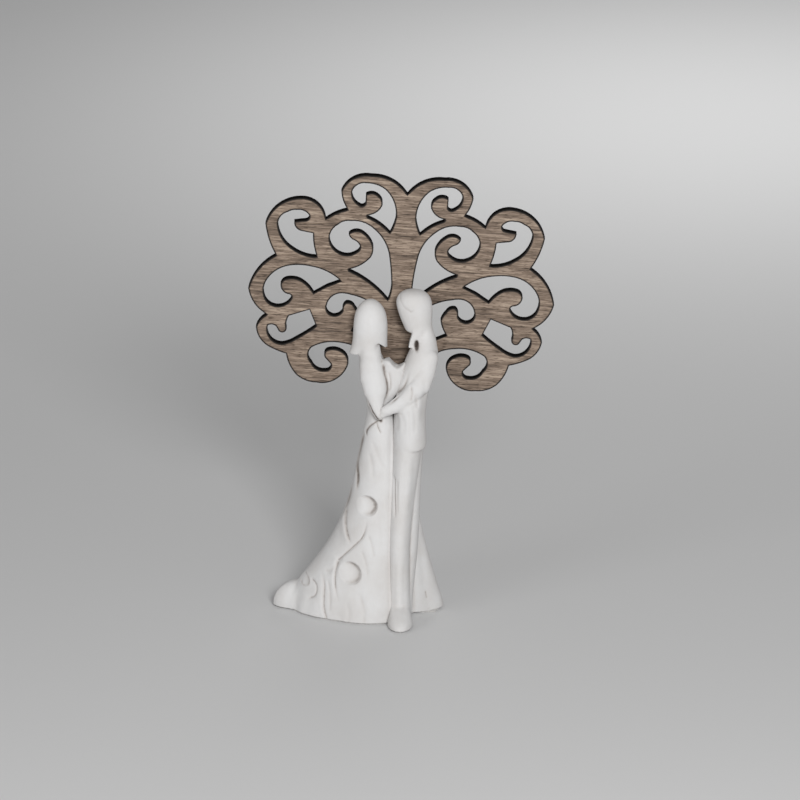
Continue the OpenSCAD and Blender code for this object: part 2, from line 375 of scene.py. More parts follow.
def makeMottle():
    # the uneven pattern that every finish here is built from
    group = bpy.data.node_groups.new("mottle", "ShaderNodeTree")
    for name, kind in (("Coordinates", "NodeSocketVector"), ("Waves per metre", "NodeSocketVector"),
                       ("Detail", "NodeSocketFloat"), ("Roughness", "NodeSocketFloat")):
        group.interface.new_socket(name=name, in_out="INPUT", socket_type=kind)
    group.interface.new_socket(name="Mottle", in_out="OUTPUT", socket_type="NodeSocketFloat")
    taken, given = group.nodes.new("NodeGroupInput"), group.nodes.new("NodeGroupOutput")
    mapping, texture = group.nodes.new("ShaderNodeMapping"), group.nodes.new("ShaderNodeTexNoise")
    texture.inputs["Scale"].default_value = 1
    group.links.new(taken.outputs["Coordinates"], mapping.inputs["Vector"])
    group.links.new(taken.outputs["Waves per metre"], mapping.inputs["Scale"])
    group.links.new(mapping.outputs["Vector"], texture.inputs["Vector"])
    group.links.new(taken.outputs["Detail"], texture.inputs["Detail"])
    group.links.new(taken.outputs["Roughness"], texture.inputs["Roughness"])
    group.links.new(texture.outputs["Fac"], given.inputs["Mottle"])
    return group


mottle = makeMottle()


def noise(tree, vector, scales, detail=4, roughness=0.6):
    # scales: how many waves per metre, in all directions or along x, y and z
    node = tree.nodes.new("ShaderNodeGroup")
    node.node_tree = mottle
    node.inputs["Waves per metre"].default_value = scales if isinstance(scales, tuple) else (scales,) * 3
    node.inputs["Detail"].default_value = detail
    node.inputs["Roughness"].default_value = roughness
    tree.links.new(vector, node.inputs["Coordinates"])
    return node.outputs["Mottle"]


def reckon(tree, operation, a, b):
    node = tree.nodes.new("ShaderNodeMath")
    node.operation = operation
    for socket, value in zip(node.inputs, (a, b)):
        if isinstance(value, (int, float)):
            socket.default_value = value
        else:
            tree.links.new(value, socket)
    return node.outputs[0]


def blend(tree, how, amount, a, b):
    node = tree.nodes.new("ShaderNodeMix")
    node.data_type = "RGBA"
    node.blend_type = how
    # the node's inputs for colours: the factor, A and B
    for place, value in zip((0, 6, 7), (amount, a, b)):
        socket = node.inputs[place]
        if isinstance(value, (int, float)):
            socket.default_value = value
        elif isinstance(value, tuple):
            socket.default_value = (*value, 1)
        else:
            tree.links.new(value, socket)
    return node.outputs[2]


def bumps(tree, height, strength, distance, shader):
    bump = tree.nodes.new("ShaderNodeBump")
    bump.inputs["Strength"].default_value = strength
    bump.inputs["Distance"].default_value = distance * mm
    tree.links.new(height, bump.inputs["Height"])
    tree.links.new(bump.outputs["Normal"], shader.inputs["Normal"])


def attribute(tree, name):
    node = tree.nodes.new("ShaderNodeAttribute")
    node.attribute_name = name
    return node.outputs["Fac"]


def objectCoords(tree):
    return tree.nodes.new("ShaderNodeTexCoord").outputs["Object"]


woodLook = {
    "constants": {"Roughness": 0.65, "Specular IOR Level": 0.3},
    "dark": (0.06, 0.043, 0.032),
    "middle": (0.213, 0.157, 0.118),
    "light": (0.425, 0.335, 0.26),
    "soot": (0.006, 0.004, 0.003),
    "stops": (0.39, 0.5, 0.61),
    # waves per metre, detail, roughness and share, from broad bands down to fine streaks
    "layers": [((22, 1, 160), 2, 0.5, 0.16), ((38, 1, 520), 3, 0.6, 0.36), ((90, 1, 1500), 4, 0.65, 0.48)],
    "pores": ((300, 1, 2600), 2, 0.5),
    "poreStops": [(0.36, (0.36, 0.33, 0.3)), (0.45, (1, 1, 1))],
    "poreStrength": 0.9,
    "rim": (0.12, 0.55),
    # strength and height of the raised grain
    "grain": (0.3, 0.2),
}


def makeWood():
    look = woodLook
    material, tree, shader = newMaterial("greyOak", look["constants"])
    turn = tree.nodes.new("ShaderNodeMapping")
    turn.inputs["Rotation"].default_value = (0, -crownLean, 0)
    tree.links.new(objectCoords(tree), turn.inputs["Vector"])
    vector = turn.outputs["Vector"]
    mixed = 0
    for scales, detail, roughness, share in look["layers"]:
        layer = noise(tree, vector, scales, detail, roughness)
        mixed = reckon(tree, "ADD", mixed, reckon(tree, "MULTIPLY", layer, share))
    tone = ramp(tree, mixed, list(zip(look["stops"], (look["dark"], look["middle"], look["light"]))))
    pores = ramp(tree, noise(tree, vector, *look["pores"]), look["poreStops"])
    tone = blend(tree, "MULTIPLY", look["poreStrength"], tone, pores)
    tone = blend(tree, "MIX", mask(tree, attribute(tree, "scorch"), *look["rim"]), tone, look["soot"])
    tree.links.new(tone, shader.inputs["Base Color"])
    bumps(tree, layer, *look["grain"], shader)
    return material


scorchLook = {
    "constants": {"Roughness": 0.8, "Specular IOR Level": 0.02},
    "grain": 500,
    "stops": [(0.35, (0.001, 0.0008, 0.0006)), (0.7, (0.005, 0.0035, 0.0025))],
}


def makeScorch():
    material, tree, shader = newMaterial("scorchedEdge", scorchLook["constants"])
    tone = ramp(tree, noise(tree, objectCoords(tree), scorchLook["grain"]), scorchLook["stops"])
    tree.links.new(tone, shader.inputs["Base Color"])
    return material


plasterLook = {
    "constants": {"Roughness": 0.72, "Specular IOR Level": 0.3},
    "pale": (0.645, 0.64, 0.637),
    "warm": (0.595, 0.58, 0.568),
    "stops": (0.36, 0.6),
    # the painted shade in hollows, creases and where the figures touch: colour, and at what darkness it starts and
    # is full
    "layers": [((0.44, 0.4, 0.37), 0, 0.55), ((0.05, 0.038, 0.032), 0.22, 0.85)],
    "leastShade": 0.45,
    # waves per metre, and how far the lumps and the grain stand out
    "clouds": 55, "patches": 420, "lumps": 190, "grain": 1100,
    "lumpHeight": 1.4, "grainHeight": 0.35,
    "relief": (0.35, 0.35),
}


def makePlaster():
    look = plasterLook
    material, tree, shader = newMaterial("castPlaster", look["constants"])
    coords = objectCoords(tree)
    tone = ramp(tree, noise(tree, coords, look["clouds"]), list(zip(look["stops"], (look["warm"], look["pale"]))))
    # painted shade: the crease and hollow darkness kept on the mesh, made patchy, is mixed into the plaster colour
    patchy = reckon(tree, "ADD", noise(tree, coords, look["patches"], 3), look["leastShade"])
    paintedShade = reckon(tree, "MULTIPLY", attribute(tree, "hollowShade"), patchy)
    for colour, start, full in look["layers"]:
        tone = blend(tree, "MIX", mask(tree, paintedShade, start, full), tone, colour)
    tree.links.new(tone, shader.inputs["Base Color"])
    lumps = reckon(tree, "MULTIPLY", noise(tree, coords, look["lumps"], 2), look["lumpHeight"])
    grain = reckon(tree, "MULTIPLY", noise(tree, coords, look["grain"]), look["grainHeight"])
    bumps(tree, reckon(tree, "ADD", lumps, grain), *look["relief"], shader)
    return material


feltLook = {
    "constants": {"Roughness": 0.95, "Sheen Weight": 0.3},
    "fibres": ((900, 2300, 1400), 5, 0.7),
    "stops": [(0.35, (0.36, 0.35, 0.34)), (0.65, (0.66, 0.65, 0.63))],
    "relief": (0.6, 0.3),
}


def makeFelt():
    material, tree, shader = newMaterial("whiteFelt", feltLook["constants"])
    fibre = noise(tree, objectCoords(tree), *feltLook["fibres"])
    tree.links.new(ramp(tree, fibre, feltLook["stops"]), shader.inputs["Base Color"])
    bumps(tree, fibre, *feltLook["relief"], shader)
    return material


wood = makeWood()
scorch = makeScorch()
plaster = makePlaster()
felt = makeFelt()
print("materials made")


def cadCopy(node, name, weld=0.01, flatAngle=1):
    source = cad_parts[node]
    piece = bpy.data.objects.new(name, source.data.copy())
    bpy.context.scene.collection.objects.link(piece)
    piece.data.materials.clear()
    pick(piece)
    bpy.ops.object.mode_set(mode="EDIT")
    bpy.ops.mesh.select_all(action="SELECT")
    bpy.ops.mesh.remove_doubles(threshold=weld * mm)
    bpy.ops.mesh.dissolve_limited(angle_limit=math.radians(flatAngle))
    bpy.ops.object.mode_set(mode="OBJECT")
    return piece


def finishPiece(piece, node):
    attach(piece, "root")
    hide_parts(node)


crownLook = {"scorchWidth": 0.9, "smoothAngle": 35, "showFace": 0.9}


def scorchRim(piece, outward):
    # insets the show face, so that the burnt rim along every cut fades into the wood
    pick(piece)
    bpy.ops.object.mode_set(mode="EDIT")
    bpy.ops.mesh.select_all(action="DESELECT")
    bpy.ops.object.mode_set(mode="OBJECT")
    for face in piece.data.polygons:
        face.select = face.normal.y * outward > crownLook["showFace"]
    bpy.ops.object.mode_set(mode="EDIT")
    bpy.ops.mesh.inset(thickness=crownLook["scorchWidth"] * mm, use_boundary=True, use_even_offset=False)
    bpy.ops.object.mode_set(mode="OBJECT")
    inner = np.zeros(len(piece.data.vertices))
    for face in piece.data.polygons:
        show = face.normal.y * outward > crownLook["showFace"]
        face.material_index = 1 if show else 0
        if show and face.select:
            inner[list(face.vertices)] = 1
    keepShade(piece, "scorch", 1 - inner)


def makeCrown():
    for node, name, outward in (("crown_core", "crownBoard", 0), ("crown_front_veneer", "crownFront", -1),
                                ("crown_back_veneer", "crownBack", 1)):
        piece = cadCopy(node, name)
        piece.data.materials.append(scorch)
        if outward:
            piece.data.materials.append(wood)
            scorchRim(piece, outward)
        pick(piece)
        bpy.ops.object.shade_smooth_by_angle(angle=math.radians(crownLook["smoothAngle"]))
        finishPiece(piece, node)


makeCrown()
print("crown made")


# The bride stands sideways left of the view's middle and faces the groom. The rows are those
# of loft and limb, and a mark's and an outline's points are (x, z).
brideShape = {
    # the plane through both figures' middle
    "spine": 7,
    "gown": [
        (-3, -16.2, 7, 35.8, 24.8, 21.2), (1, -16.2, 7, 35.4, 24.5, 21), (5, -16, 7, 34.2, 24, 20.4),
        (9, -15.8, 7, 32.6, 23.3, 19.8), (14, -15.2, 7, 30.4, 22.3, 19.2), (24, -12.4, 7, 24.6, 19.9, 18),
        (35, -10.3, 7, 19.8, 17.5, 16.8), (47, -8.7, 7, 16.2, 15.5, 11), (60, -8, 7, 13.4, 13.2, 6.9),
        (75, -8.9, 7, 9.9, 11, 6.9), (87, -9, 5.5, 7, 8.6, 8.4), (95, -9.8, 5, 5, 6.6, 8.8),
        (103, -11.2, 5, 5.6, 7, 8.9), (110, -12.3, 5, 6.2, 7.4, 8.9), (115, -12.9, 5.4, 5.8, 6.8, 8),
        (118.6, -14, 6, 5, 6.8, 5.4), (121, -14.2, 6.2, 4.5, 6.6, 4), (128, -14, 6.4, 4.4, 6.4, 3.4),
    ],
    # the gown is shallow in front where it flares out to the right of the leg
    "flare": {"from": -1.5, "to": 5.5, "share": 0.54, "fades": (46, 70)},
    # and it draws in steadily towards the train
    "slant": {"from": -16, "to": -52, "share": 0.3, "fades": (30, 75)},
    "train": [(-3, -46.2, 9.5, 11.6, 8, 8), (1, -46.2, 9.5, 11.6, 8, 8), (4, -46.2, 9.5, 11.5, 7.6, 8),
              (7.2, -46.2, 9.2, 10, 6.6, 7), (9.8, -46.2, 9, 7.4, 5, 5.6), (11.4, -46.2, 8.8, 4.4, 3.2, 3.6),
              (11.8, -46.2, 8.8, 1.6, 1.4, 1.6)],
    "hair": [
        (116, -14.7, 7, 8.3, 4.6, 5), (118.4, -14.7, 7, 8.5, 5, 5.6), (120.6, -14.3, 6.8, 8.2, 5.4, 6),
        (122.8, -14, 6.6, 7.8, 6, 6.6), (126, -13.8, 6.5, 7.6, 6.4, 6.9), (131, -13.6, 6.5, 7.6, 6.8, 7.1),
        (136, -13.6, 6.5, 7.2, 6.5, 6.7), (140, -13.6, 6.5, 5.7, 5.3, 5.5), (142.7, -13.6, 6.5, 2.9, 2.7, 2.9),
        (143.4, -13.6, 6.5, 0.8, 0.8, 0.8),
    ],
    # what is cut away under the hair, from the nape's flick to the lock in front
    "underHair": [(-26, 110), (-26, 117.8), (-23, 118.4), (-19.4, 118.8), (-16.5, 120.4), (-13.2, 123),
                  (-10.2, 124.6), (-6.6, 121.4), (-3, 121), (-3, 110)],
    "underHairDepth": (-6, 22),
    "arm": [(-13.4, 1.2, 114.6, 5.2), (-12.4, -0.4, 109.5, 5.9), (-11.5, -2.2, 104, 5.2), (-11.3, -3.8, 99.6, 3.7),
            (-10.8, -5, 96.2, 2.7), (-9.8, -5.8, 93.6, 2)],
    "armFlat": 0.72,
    "shoulder": [(-13.2, 4.4, 121.4, 3.9), (-13.4, 2, 115.4, 5.2)],
    "shoulderFlat": 0.9,
    "bodice": [(94, -7.4, 0.6, 1.4, 2, 3), (99, -7, 0.8, 2.6, 2.6, 4), (104, -4.4, 1, 4.2, 3, 5),
               (109, -3.4, 1, 4.9, 3.6, 5), (113.2, -3.3, 1, 5.2, 3.6, 5), (114.4, -3.3, 1, 5.1, 3.4, 4.8)],
    # the bodice's top rises to a point on either side of its middle
    "bodiceTop": {"height": 3.4, "from": 109, "to": 113, "middle": -1.6, "reach": 3.8, "curve": 1.6},
    "gownVoxel": 0.8, "gownSmoothing": 6,
    "voxel": 0.45, "smoothing": 3,
    # above this the back is flat against the board
    "flatAbove": 60,
    # boxes in which the castings' parts run into each other softly: low corner, high corner, rounds
    "softened": [((-18, -10, 114), (-12.4, 6, 125), 60), ((-8, -10, 98), (-3, 6, 111), 8)],
    "marks": [
        {"path": [(-16.4, 102.4), (-15.1, 98.8), (-13.7, 95.8), (-11.7, 92.8), (-9.4, 90.6), (-8.2, 89.2)],
         "width": 1.08, "depth": 0.9, "shade": 1, "fadeIn": 0.3},
        {"path": [(-8.2, 116.5), (-7.6, 112.7), (-6.5, 108.5), (-6.1, 104.2), (-7.3, 99.6)],
         "width": 0.55, "depth": 0.35, "shade": 0.6},
        {"path": [(-5.8, 113), (-5, 109.8), (-4.8, 106.4), (-5.2, 103)],
         "width": 0.5, "depth": 0.3, "shade": 0.35},
        {"path": [(-8.8, 91.4), (-11.2, 89.7), (-13.9, 87.3), (-15.6, 84.3), (-15.2, 82)],
         "width": 0.5, "depth": 0.5, "shade": 0.6},
        {"path": [(-11.2, 89.9), (-10.1, 86.7), (-8.8, 84.3)], "width": 0.45, "depth": 0.4, "shade": 0.49},
        {"path": [(-16.3, 84.6), (-18.2, 76), (-19.6, 68.9), (-19.2, 63), (-19.9, 56.1)],
         "width": 0.6, "depth": 0.5, "lift": 0.45, "spread": 3, "shade": 0.71},
        {"path": [(-13, 81.4), (-10.4, 74.5), (-7.3, 68.4)], "width": 1, "depth": 0.25, "shade": 0.06},
        {"path": [(-14.2, 76), (-12.8, 69), (-12.6, 64)], "width": 0.9, "depth": 0.25, "shade": 0.08},
        {"path": [(-15.2, 47.5), (-15.7, 42.8), (-17.5, 37.9), (-21.9, 33), (-26, 28.8), (-28.4, 26.4)],
         "width": 0.6, "depth": 0.45, "lift": -0.3, "spread": 3.4, "shade": 0.16, "fadeIn": 0.4, "fadeOut": 0.02},
        {"path": [(-28.4, 26.4), (-29.3, 22.7), (-29.6, 17.8), (-28.9, 13), (-27.3, 7.3)],
         "width": 0.6, "depth": 0.6, "lift": 0.25, "spread": 3, "shade": 0.3, "fadeIn": 0.02, "fadeOut": 0.5},
        {"path": [(-24.4, 48.5), (-24.9, 43.9), (-24.4, 39.3), (-22.4, 33.6)],
         "width": 0.6, "depth": 0.5, "lift": 0.5, "spread": 4, "shade": 0.34},
        {"path": [(-22, 60), (-22.9, 54), (-24.8, 48), (-27.4, 42)],
         "width": 0.6, "depth": 0.3, "shade": 0.8},
        {"path": [(-26, 29.1), (-29, 24.3), (-31.6, 21.8), (-34.4, 20.8)],
         "width": 1, "depth": 0.4, "shade": 0.1},
        {"path": [(-35.6, 21.3), (-34.4, 15.5), (-34.6, 6.5), (-33.4, 0.8)],
         "width": 0.7, "depth": 0.45, "lift": 0.4, "spread": 6, "shade": 0.2, "fadeIn": 0.4, "fadeOut": 0.02},
        {"path": [(-32.4, 18.1), (-31.6, 10.8), (-31.8, 3.5)], "width": 0.6, "depth": 0.25, "shade": 0.15},
        {"path": [(-40.2, 16.9), (-37.6, 14.5), (-38.2, 10.3), (-42.2, 7.3)],
         "width": 0.5, "depth": 0.35, "lift": -0.25, "spread": 2.4, "shade": 0.2},
        {"path": [(-41.2, 16.5), (-43.2, 17.2), (-44.8, 16), (-45, 14.1), (-43.6, 12.7), (-41.3, 13.1)],
         "width": 0.4, "depth": 0.35, "lift": 0.35, "spread": 1.2, "shade": 0.32},
        {"path": [(-19.4, 15.5), (-16.9, 8.4), (-16.4, 1)],
         "width": 1.2, "depth": 0.4, "shade": 0.08, "fadeIn": 0.4, "fadeOut": 0.02},
        {"path": [(-24.5, 12.1), (-23.2, 5), (-23.4, 1)],
         "width": 1.3, "depth": 0.35, "fadeIn": 0.4, "fadeOut": 0.02},
        {"path": [(-14.6, 39.6), (-13, 34.8), (-11.9, 28.8)], "width": 0.8, "depth": 0.3, "shade": 0.1},
        {"path": [(-17.6, 32.8), (-15.6, 26.8), (-14.8, 20.7)], "width": 0.8, "depth": 0.3, "shade": 0.1},
        {"path": [(-11, 56), (-9.4, 43.9), (-9.6, 29.8)], "width": 2, "depth": 0.3},
        {"path": [(-4.9, 88), (-5.1, 70), (-5.6, 52), (-5.8, 38), (-5.7, 18), (-5.6, 0)],
         "width": 1, "depth": 0.35, "fadeIn": 0.1, "fadeOut": 0.01},
        {"path": [(5.2, 44), (5.2, 28), (5.4, 14), (5.6, 0)],
         "width": 1, "depth": 0.4, "shade": 0.05, "fadeOut": 0.01},
        {"path": [(8, 36), (9.6, 18), (12, 1)], "width": 1.8, "depth": 0.4, "fadeOut": 0.02},
        {"path": [(10.6, 10), (11.4, 6.4)], "width": 0.4, "depth": 0.3, "shade": 0.4},
        {"path": [(-43.6, 19), (-46.5, 8.2), (-47.6, 0)], "width": 1.4, "depth": 0.4, "fadeOut": 0.02},
        {"path": [(-9, 96), (-6, 70), (-4, 46)], "width": 1.8, "depth": 0.5, "face": -1},
        {"path": [(-20, 40), (-26, 20), (-31, 0)], "width": 2, "depth": 0.9, "face": -1, "fadeOut": 0.02},
        {"path": [(-12, 40), (-13, 20), (-14, 0)], "width": 2, "depth": 0.9, "face": -1, "fadeOut": 0.02},
        {"path": [(-3, 42), (2, 20), (5, 0)], "width": 2, "depth": 0.9, "face": -1, "fadeOut": 0.02},
        {"path": [(-30, 22), (-40, 8), (-45, 0)], "width": 2, "depth": 0.9, "face": -1, "fadeOut": 0.02},
    ],
    "hollows": [(-15.2, 52.0, 4.4, 2.6), (-22.6, 22.2, 4.8, 2.6), (-42.8, 14.9, 2.2, 0.9)],
    # waves: how many go round, where they start, and their share
    "hem": {"middle": -19.3, "stretch": 1.5, "waves": [(9, 0.6, 1), (20.7, 1.9, 0.6)],
            "bias": 1.2, "swing": 0.0072, "fades": (3, 26), "beyond": (20, 32)},
    "creaseShade": 0.45,
}


groomShape = {
    "leg": [
        (-3, -0.7, -11, 5.3, 6.6, 6), (1, -0.7, -11, 5.2, 6.6, 6), (8, -0.9, -10.6, 4.9, 6.4, 6),
        (18, -1.1, -9.4, 4.7, 6.4, 6.2), (28, -1.2, -8, 4.6, 6.6, 6.4), (38, -1.1, -6, 4.7, 7, 6.6),
        (52, 0, -3.2, 5.3, 7.4, 8), (68, 1.7, -1.4, 5.9, 8.2, 9), (78, 2.7, -0.8, 6.4, 8.2, 9),
        (84, 2.7, -0.8, 6.2, 8, 8),
    ],
    "farLeg": [
        (-3, 1.6, -4, 2.8, 3.6, 7), (3, 1.7, -4, 2.8, 3.6, 7), (14, 2.6, -3, 2.8, 4.4, 7),
        (28, 4, -1.4, 3, 5.2, 7), (40, 4.4, 0, 3.4, 5.6, 7), (52, 4.4, 1, 3.7, 5.6, 8),
        (68, 4.8, 1.6, 4.1, 5.8, 8), (78, 5.2, 2, 4.6, 6, 8), (84, 5.2, 2, 4.4, 6, 8),
    ],
    "jacket": [
        (77.4, 3.5, -0.4, 6.6, 8, 9.4), (78, 3.5, -0.4, 7.2, 8.8, 10), (79.4, 3.6, -0.4, 7.4, 9, 10.2),
        (85, 3.6, 0, 7.2, 9.2, 10), (92, 3.5, 0.8, 7, 10.2, 9.6), (97, 3.8, 1.2, 7, 10.4, 9.6),
        (101, 4.4, 1.5, 7.1, 9.2, 10), (104.6, 5.2, 1.9, 7.2, 8.4, 10.4), (110, 6.6, 2.6, 7.3, 8.2, 11),
        (116, 8.4, 3.2, 7.2, 8.4, 10.6), (120.4, 9.5, 3.9, 6.3, 7.4, 9.2), (123.6, 10.2, 4.6, 5.2, 5.8, 6.6),
        (126.4, 10.4, 5.4, 4.3, 4.6, 4.6), (130, 9.9, 6, 3.6, 3.9, 3.8), (136, 8.8, 6, 3.4, 3.8, 3.8),
    ],
    "head": [
        (128.6, 7.4, 6.5, 4, 3.8, 4.2), (129, 7.4, 6.5, 5.7, 5, 5.4), (131, 7.1, 6.5, 6.1, 5.6, 6),
        (134, 6.5, 6.5, 6.9, 6, 6.4), (138, 5.9, 6.5, 7.6, 6.5, 6.9), (142.2, 5.3, 6.5, 8.1, 6.8, 7.2),
        (145.2, 5.2, 6.5, 7, 6, 6.4), (147, 5, 6.5, 4.6, 4, 4.3), (147.7, 4.9, 6.5, 1.8, 1.6, 1.6),
    ],
    "nape": [(10.9, 6.8, 134, 2.2), (11.2, 6.4, 129.5, 2.5), (11.9, 5.6, 125.4, 3.2), (12, 4, 120.4, 3.9)],
    "arm": [(11.3, 0, 118.2, 4.7), (9.9, -2.2, 112, 4.6), (8, -4.2, 107, 4.5), (2.4, -5.6, 101.6, 3.9),
            (-3.2, -6.2, 98, 3.1), (-7, -6.2, 96, 2.4)],
    "hand": [(-6.4, -6.6, 96.2, 2.2), (-8.6, -6.2, 94.2, 1.5)],
    "limbFlat": 0.8,
    "collar": [(5.2, 131), (9, 131), (8, 127.4), (6, 125.2), (5.2, 122.6), (2.9, 122.6), (3.7, 126)],
    "collarDepth": (1, 5.5),
    # the hole beside the collar, sunk and painted dark as shade, and the plane that it stays in front of
    "collarGap": {"x": 6.5, "z": 123.8, "halfWidth": 1, "halfHeight": 2.1, "depth": 2, "edge": 2.5, "behind": 5},
    "shoe": [
        (-2, -0.7, -18, 5.6, 9.9, 8), (1, -0.7, -18, 5.6, 9.8, 8), (3, -0.7, -18, 5.5, 9.3, 8),
        (4.8, -0.7, -17.4, 4.9, 7.6, 8), (7, -0.8, -16, 4.4, 4.6, 6), (9, -0.8, -14, 3.6, 2, 4),
    ],
    "voxel": 0.4, "smoothing": 2,
    "softened": [((-6, -30, 4), (5, -10, 14), 50), ((-3, -14, 90), (14, -1, 98), 40),
                 ((6, -6, 123), (15, 6, 134), 30)],
    "marks": [
        {"path": [(-0.3, 146.6), (-0.6, 144.6), (0.4, 142.2), (2.2, 140.2), (4.4, 139.6), (5.2, 141)],
         "width": 0.5, "depth": 0.1, "lift": -0.18, "spread": 4, "shade": 0.12},
        {"path": [(1.4, 141.6), (3, 140), (4.4, 138.4)], "width": 0.4, "depth": 0.15, "shade": 0.1},
        {"path": [(3.6, 114.6), (1.4, 107.8), (-2.2, 102.8), (-6.6, 98.4)],
         "width": 0.6, "depth": 0.6, "shade": 0.49, "fadeIn": 0.4, "fadeOut": 0.3},
        {"path": [(4, 108), (4.5, 104.4), (4.1, 101)], "width": 0.6, "depth": 0.4, "shade": 0.3},
        {"path": [(5.6, 104.6), (6.6, 101), (6.8, 97)], "width": 0.8, "depth": 0.3, "shade": 0.1},
        {"path": [(-2.4, 95), (-1.8, 91), (-2.3, 86)], "width": 0.8, "depth": 0.25, "shade": 0.08},
        {"path": [(-0.6, 96), (1, 91.6), (1, 85)], "width": 1, "depth": 0.25, "shade": 0.05},
        {"path": [(2.2, 97), (3.4, 92), (3.2, 84)], "width": 1, "depth": 0.25, "shade": 0.05},
        {"path": [(5, 99.6), (5.8, 93), (5.4, 85)], "width": 1, "depth": 0.3, "shade": 0.06},
        {"path": [(9.6, 112), (10.2, 106), (9.4, 98), (8.8, 88)], "width": 1.2, "depth": 0.3, "shade": 0.05},
        {"path": [(-3.1, 66.6), (-3.2, 58), (-2.8, 47)],
         "width": 0.5, "depth": 0.4, "lift": -0.45, "spread": 1.1, "shade": 0.36},
        {"path": [(-1.9, 66), (-2, 58), (-1.8, 48)], "width": 0.45, "depth": 0.3, "shade": 0.2},
        {"path": [(1.4, 76), (0.2, 60), (-0.8, 48)], "width": 1, "depth": 0.2},
        {"path": [(5.8, 77), (5, 60), (3.6, 48)], "width": 1.2, "depth": 0.25},
        {"path": [(1.2, 30), (1, 14), (1.2, 6)], "width": 1, "depth": 0.2},
        {"path": [(-3, 30), (-3.4, 14), (-3.2, 6)], "width": 1, "depth": 0.2},
        {"path": [(5.2, 120), (3.6, 110), (3, 92), (3.4, 79)], "width": 1.2, "depth": 0.5, "face": -1},
        {"path": [(9, 116), (8.6, 106)], "width": 1.6, "depth": 0.4, "face": -1},
    ],
    "creaseShade": 0.4,
}


def bend(points, shape):
    # draws the gown's front in, right of the leg and towards the train
    x, y, z = points.T
    flare, slant, spine = shape["flare"], shape["slant"], shape["spine"]
    right = rise(x, flare["from"], flare["to"]) * (1 - rise(z, *flare["fades"]))
    left = np.clip((x - slant["from"]) / (slant["to"] - slant["from"]), 0, 1) * (1 - rise(z, *slant["fades"]))
    share = (1 - (1 - flare["share"]) * right) * (1 - slant["share"] * left)
    return np.stack([x, np.where(y < spine, spine + (y - spine) * share, y), z], axis=1)


def waveHem(points, shape):
    # the gown's foot swings in and out a little as it goes round
    hem = shape["hem"]
    x, y = points[:, 0] - hem["middle"], (points[:, 1] - shape["spine"]) * hem["stretch"]
    angle = np.arctan2(y, x)
    wave = sum(share * np.sin(count * angle + start) for count, start, share in hem["waves"])
    near = (1 - rise(points[:, 2], *hem["fades"])) * rise(np.hypot(x, y), *hem["beyond"])
    points[:, :2] *= (1 - hem["swing"] * (hem["bias"] + wave) * near)[:, None]
    return points


# (x, z) from the crown's middle, before the crown leans
trunkShape = {
    "middle": 145,
    "slot": [(-8.2, -129.2), (8.2, -129.2), (8.2, -109), (-8.2, -109)],
    "slotGap": 0.2,
    "groove": [(-8.4, -109), (8.4, -109), (9.7, -42), (9.7, 5), (-9.7, 5), (-9.7, -42)],
    "openBehind": 20,
}


def trunkSpace():
    # the slot for the tongue, and above it the groove that the trunk is glued into
    shape = trunkShape
    pieces = [
        prism("slot", shape["slot"], boardFront - shape["slotGap"], boardBack + shape["slotGap"]),
        prism("groove", shape["groove"], boardFront - glueGap, boardBack + shape["openBehind"]),
    ]
    cutter = joinPieces("trunkSpace", pieces)
    lean = Matrix.Rotation(crownLean, 4, "Y")
    cutter.data.transform(Matrix.Translation((0, 0, shape["middle"] * mm)) @ lean)
    return cutter


def makeBride():
    shape = brideShape
    gown = loft("gown", shape["gown"], sides=40)
    writePoints(gown, bend(readPoints(gown), shape))
    body = joinPieces("bride", [gown, loft("train", shape["train"])])
    remesh(body, shape["gownVoxel"], shape["gownSmoothing"])
    hair = loft("hair", shape["hair"])
    cutBy(hair, prism("underHair", shape["underHair"], *shape["underHairDepth"]))
    bodice = loft("bodice", shape["bodice"])
    points, top = readPoints(bodice), shape["bodiceTop"]
    outward = np.clip(np.abs(points[:, 0] - top["middle"]) / top["reach"], 0, 1) ** top["curve"]
    points[:, 2] += top["height"] * rise(points[:, 2], top["from"], top["to"]) * outward
    writePoints(bodice, points)
    arm = limb("arm", shape["arm"], shape["armFlat"])
    shoulder = limb("shoulder", shape["shoulder"], shape["shoulderFlat"])
    bride = joinPieces("bride", [body, hair, bodice, arm, shoulder])
    remesh(bride, shape["voxel"], shape["smoothing"])
    for box in shape["softened"]:
        softenWithin(bride, *box)
    points = waveHem(readPoints(bride), shape)
    high = points[:, 2] > shape["flatAbove"]
    points[high, 1] = np.minimum(points[high, 1], boardFront - glueGap)
    writePoints(bride, points)
    # painted shadow in the scoops, and painted shade along the marks
    paintedShade = scoop(bride, shape["hollows"])
    return bride, np.maximum(paintedShade, carve(bride, shape["marks"]))


def makeGroom():
    shape = groomShape
    parts = [loft(key, shape[key]) for key in ("leg", "farLeg", "jacket", "head", "shoe")]
    parts += [limb(key, shape[key], shape["limbFlat"]) for key in ("nape", "arm", "hand")]
    parts.append(prism("collar", shape["collar"], *shape["collarDepth"]))
    groom = joinPieces("groom", parts)
    remesh(groom, shape["voxel"], shape["smoothing"])
    for box in shape["softened"]:
        softenWithin(groom, *box)
    points, gap = readPoints(groom), shape["collarGap"]
    points[:, 1] = np.minimum(points[:, 1], boardFront - glueGap)
    across, up = (points[:, 0] - gap["x"]) / gap["halfWidth"], (points[:, 2] - gap["z"]) / gap["halfHeight"]
    hole = np.exp(-(across ** 2 + up ** 2) ** gap["edge"]) * (points[:, 1] < gap["behind"])
    points[:, 1] += gap["depth"] * hole
    writePoints(groom, points)
    # the marks' painted shade, and the hole painted fully dark as shade
    return groom, np.maximum(carve(groom, shape["marks"]), hole)


# painted shade: darker in places sunk below their surroundings, and where the figures touch
shadeLook = {"rounds": 8, "depth": 0.24, "curve": 1.4, "reach": 0.8, "touchFrom": 0.2, "touchShade": 0.14}


